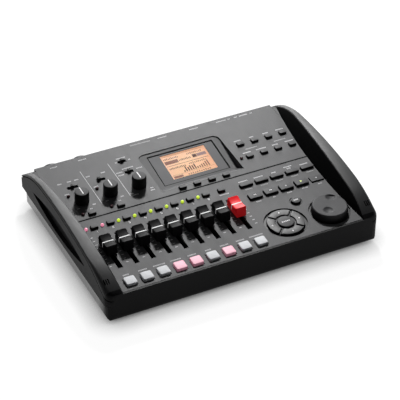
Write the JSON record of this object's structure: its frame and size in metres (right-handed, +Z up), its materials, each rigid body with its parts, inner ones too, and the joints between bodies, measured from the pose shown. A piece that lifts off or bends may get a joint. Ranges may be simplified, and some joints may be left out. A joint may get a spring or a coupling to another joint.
{
  "type": "digital multitrack recorder",
  "caption": "Table-top digital multitrack recorder with sliding faders, pads, knobs, a jog dial, a cursor ring, transport keys and a lit display on a raked panel between bowed side rails.",
  "frame": {"origin": "on the table under the middle of the footprint", "axes": "+X to the player's right, +Y to the rear with the sockets, +Z up"},
  "size_m": [0.257, 0.19, 0.051],
  "materials": {
    "case_black": "satin",
    "panel_grey": "fine matt grain",
    "window": "clear",
    "lcd": "lit from behind",
    "board": "lacquered",
    "socket_black": "satin",
    "steel": "plated",
    "lamp": "clear tint",
    "rubber": "matt",
    "fader_black": "satin",
    "fader_red": "satin",
    "knob_black": "satin",
    "dial_grey": "satin",
    "pad": "translucent rubber look",
    "key_grey": "satin"
  },
  "bodies": {
    "recorder": {"lower_case": "case_black", "control_panel": "panel_grey", "left_rail": "case_black", "right_rail": "case_black", "display_window": "window", "lcd_module": "lcd", "control_board": "board", "main_board": "board", "combo_jacks": "socket_black", "rear_sockets": "steel", "fader_tracks": "steel", "rotary_bodies": "steel", "indicator_leds": "lamp", "rubber_feet": "rubber", "case_screws": "steel", "microphones": "steel", "battery_contacts": "steel"},
    "fader_1": {"fader_1": "fader_black"},
    "fader_2": {"fader_2": "fader_black"},
    "fader_3": {"fader_3": "fader_black"},
    "fader_4": {"fader_4": "fader_black"},
    "fader_5": {"fader_5": "fader_black"},
    "fader_6": {"fader_6": "fader_black"},
    "fader_7": {"fader_7": "fader_black"},
    "fader_8": {"fader_8": "fader_black"},
    "master_fader": {"master_fader": "fader_red"},
    "input_1_knob": {"input_1_knob": "knob_black"},
    "input_2_knob": {"input_2_knob": "knob_black"},
    "level_knob": {"level_knob": "knob_black"},
    "input_1_switch": {"input_1_switch": "knob_black"},
    "input_2_switch": {"input_2_switch": "knob_black"},
    "front_switch": {"front_switch": "knob_black"},
    "rear_switch": {"rear_switch": "knob_black"},
    "jog_dial": {"jog_dial": "dial_grey"},
    "power_switch": {"power_switch": "knob_black"},
    "battery_cover": {"battery_cover": "case_black"},
    "pad_1": {"pad_1": "pad"},
    "pad_2": {"pad_2": "pad"},
    "pad_3": {"pad_3": "pad"},
    "pad_4": {"pad_4": "pad"},
    "pad_5": {"pad_5": "pad"},
    "pad_6": {"pad_6": "pad"},
    "pad_7": {"pad_7": "pad"},
    "pad_8": {"pad_8": "pad"},
    "pad_9": {"pad_9": "pad"},
    "back_key": {"back_key": "key_grey"},
    "forward_key": {"forward_key": "key_grey"},
    "stop_key": {"stop_key": "key_grey"},
    "play_key": {"play_key": "key_grey"},
    "record_key": {"record_key": "key_grey"},
    "cursor_right_key": {"cursor_right_key": "key_grey"},
    "cursor_up_key": {"cursor_up_key": "key_grey"},
    "cursor_left_key": {"cursor_left_key": "key_grey"},
    "cursor_down_key": {"cursor_down_key": "key_grey"},
    "enter_key": {"enter_key": "key_grey"},
    "exit_key": {"exit_key": "key_grey"},
    "track_keys": {"track_keys": "key_grey"},
    "utility_keys": {"utility_keys": "key_grey"},
    "function_keys": {"function_keys": "key_grey"},
    "soft_keys": {"soft_keys": "key_grey"}
  },
  "joints": [
    {"name": "fader_1_slide", "type": "slide", "parent": "recorder", "child": "fader_1", "axis": [0, 0.9987, 0.0501], "range_m": [-0.0247, 0.0153]},
    {"name": "fader_2_slide", "type": "slide", "parent": "recorder", "child": "fader_2", "axis": [0, 0.9987, 0.0501], "range_m": [-0.0247, 0.0153]},
    {"name": "fader_3_slide", "type": "slide", "parent": "recorder", "child": "fader_3", "axis": [0, 0.9987, 0.0501], "range_m": [-0.0247, 0.0153]},
    {"name": "fader_4_slide", "type": "slide", "parent": "recorder", "child": "fader_4", "axis": [0, 0.9987, 0.0501], "range_m": [-0.0247, 0.0153]},
    {"name": "fader_5_slide", "type": "slide", "parent": "recorder", "child": "fader_5", "axis": [0, 0.9987, 0.0501], "range_m": [-0.0247, 0.0153]},
    {"name": "fader_6_slide", "type": "slide", "parent": "recorder", "child": "fader_6", "axis": [0, 0.9987, 0.0501], "range_m": [-0.0247, 0.0153]},
    {"name": "fader_7_slide", "type": "slide", "parent": "recorder", "child": "fader_7", "axis": [0, 0.9987, 0.0501], "range_m": [-0.0247, 0.0153]},
    {"name": "fader_8_slide", "type": "slide", "parent": "recorder", "child": "fader_8", "axis": [0, 0.9987, 0.0501], "range_m": [-0.0247, 0.0153]},
    {"name": "master_fader_slide", "type": "slide", "parent": "recorder", "child": "master_fader", "axis": [0, 0.9987, 0.0501], "range_m": [-0.0247, 0.0153]},
    {"name": "input_1_knob_turn", "type": "hinge", "parent": "recorder", "child": "input_1_knob", "pos_m": [-0.0972, 0.02846, 0.03573], "axis": [0, -0.0501, 0.9987], "range_deg": [-150, 150]},
    {"name": "input_2_knob_turn", "type": "hinge", "parent": "recorder", "child": "input_2_knob", "pos_m": [-0.0702, 0.02846, 0.03573], "axis": [0, -0.0501, 0.9987], "range_deg": [-150, 150]},
    {"name": "level_knob_turn", "type": "hinge", "parent": "recorder", "child": "level_knob", "pos_m": [-0.043, 0.02816, 0.03571], "axis": [0, -0.0501, 0.9987], "range_deg": [-150, 150]},
    {"name": "input_1_switch_slide", "type": "slide", "parent": "recorder", "child": "input_1_switch", "axis": [1, 0, 0], "range_m": [-0.0034, 0.0034]},
    {"name": "input_2_switch_slide", "type": "slide", "parent": "recorder", "child": "input_2_switch", "axis": [1, 0, 0], "range_m": [0, 0.004]},
    {"name": "front_switch_slide", "type": "slide", "parent": "recorder", "child": "front_switch", "axis": [1, 0, 0], "range_m": [-0.0022, 0.0022]},
    {"name": "rear_switch_slide", "type": "slide", "parent": "recorder", "child": "rear_switch", "axis": [1, 0, 0], "range_m": [-0.0022, 0.0022]},
    {"name": "jog_dial_turn", "type": "hinge", "parent": "recorder", "child": "jog_dial", "pos_m": [0.0923, -0.07141, 0.03072], "axis": [0, -0.0501, 0.9987], "continuous": true},
    {"name": "power_switch_slide", "type": "slide", "parent": "recorder", "child": "power_switch", "axis": [1, 0, 0], "range_m": [0, 0.0048]},
    {"name": "battery_cover_turn", "type": "hinge", "parent": "recorder", "child": "battery_cover", "pos_m": [0, 0.0267, 0.0035], "axis": [1, 0, 0], "range_deg": [0, 80]},
    {"name": "pad_1_slide", "type": "slide", "parent": "recorder", "child": "pad_1", "axis": [0, 0.0501, -0.9987], "range_m": [0, 0.0008], "stiffness_N_per_m": 600},
    {"name": "pad_2_slide", "type": "slide", "parent": "recorder", "child": "pad_2", "axis": [0, 0.0501, -0.9987], "range_m": [0, 0.0008], "stiffness_N_per_m": 600},
    {"name": "pad_3_slide", "type": "slide", "parent": "recorder", "child": "pad_3", "axis": [0, 0.0501, -0.9987], "range_m": [0, 0.0008], "stiffness_N_per_m": 600},
    {"name": "pad_4_slide", "type": "slide", "parent": "recorder", "child": "pad_4", "axis": [0, 0.0501, -0.9987], "range_m": [0, 0.0008], "stiffness_N_per_m": 600},
    {"name": "pad_5_slide", "type": "slide", "parent": "recorder", "child": "pad_5", "axis": [0, 0.0501, -0.9987], "range_m": [0, 0.0008], "stiffness_N_per_m": 600},
    {"name": "pad_6_slide", "type": "slide", "parent": "recorder", "child": "pad_6", "axis": [0, 0.0501, -0.9987], "range_m": [0, 0.0008], "stiffness_N_per_m": 600},
    {"name": "pad_7_slide", "type": "slide", "parent": "recorder", "child": "pad_7", "axis": [0, 0.0501, -0.9987], "range_m": [0, 0.0008], "stiffness_N_per_m": 600},
    {"name": "pad_8_slide", "type": "slide", "parent": "recorder", "child": "pad_8", "axis": [0, 0.0501, -0.9987], "range_m": [0, 0.0008], "stiffness_N_per_m": 600},
    {"name": "pad_9_slide", "type": "slide", "parent": "recorder", "child": "pad_9", "axis": [0, 0.0501, -0.9987], "range_m": [0, 0.0008], "stiffness_N_per_m": 600},
    {"name": "back_key_slide", "type": "slide", "parent": "recorder", "child": "back_key", "axis": [0, 0.0501, -0.9987], "range_m": [0, 0.0008], "stiffness_N_per_m": 600},
    {"name": "forward_key_slide", "type": "slide", "parent": "recorder", "child": "forward_key", "axis": [0, 0.0501, -0.9987], "range_m": [0, 0.0008], "stiffness_N_per_m": 600},
    {"name": "stop_key_slide", "type": "slide", "parent": "recorder", "child": "stop_key", "axis": [0, 0.0501, -0.9987], "range_m": [0, 0.0008], "stiffness_N_per_m": 600},
    {"name": "play_key_slide", "type": "slide", "parent": "recorder", "child": "play_key", "axis": [0, 0.0501, -0.9987], "range_m": [0, 0.0008], "stiffness_N_per_m": 600},
    {"name": "record_key_slide", "type": "slide", "parent": "recorder", "child": "record_key", "axis": [0, 0.0501, -0.9987], "range_m": [0, 0.0008], "stiffness_N_per_m": 600},
    {"name": "cursor_right_key_slide", "type": "slide", "parent": "recorder", "child": "cursor_right_key", "axis": [0, 0.0501, -0.9987], "range_m": [0, 0.0008], "stiffness_N_per_m": 600},
    {"name": "cursor_up_key_slide", "type": "slide", "parent": "recorder", "child": "cursor_up_key", "axis": [0, 0.0501, -0.9987], "range_m": [0, 0.0008], "stiffness_N_per_m": 600},
    {"name": "cursor_left_key_slide", "type": "slide", "parent": "recorder", "child": "cursor_left_key", "axis": [0, 0.0501, -0.9987], "range_m": [0, 0.0008], "stiffness_N_per_m": 600},
    {"name": "cursor_down_key_slide", "type": "slide", "parent": "recorder", "child": "cursor_down_key", "axis": [0, 0.0501, -0.9987], "range_m": [0, 0.0008], "stiffness_N_per_m": 600},
    {"name": "enter_key_slide", "type": "slide", "parent": "recorder", "child": "enter_key", "axis": [0, 0.0501, -0.9987], "range_m": [0, 0.0008], "stiffness_N_per_m": 600},
    {"name": "exit_key_slide", "type": "slide", "parent": "recorder", "child": "exit_key", "axis": [0, 0.0501, -0.9987], "range_m": [0, 0.0008], "stiffness_N_per_m": 600},
    {"name": "track_keys_slide", "type": "slide", "parent": "recorder", "child": "track_keys", "axis": [0, 0.0501, -0.9987], "range_m": [0, 0.0008], "stiffness_N_per_m": 600},
    {"name": "utility_keys_slide", "type": "slide", "parent": "recorder", "child": "utility_keys", "axis": [0, 0.0501, -0.9987], "range_m": [0, 0.0008], "stiffness_N_per_m": 600},
    {"name": "function_keys_slide", "type": "slide", "parent": "recorder", "child": "function_keys", "axis": [0, 0.0501, -0.9987], "range_m": [0, 0.0008], "stiffness_N_per_m": 600},
    {"name": "soft_keys_slide", "type": "slide", "parent": "recorder", "child": "soft_keys", "axis": [0, 0.0501, -0.9987], "range_m": [0, 0.0008], "stiffness_N_per_m": 600}
  ]
}
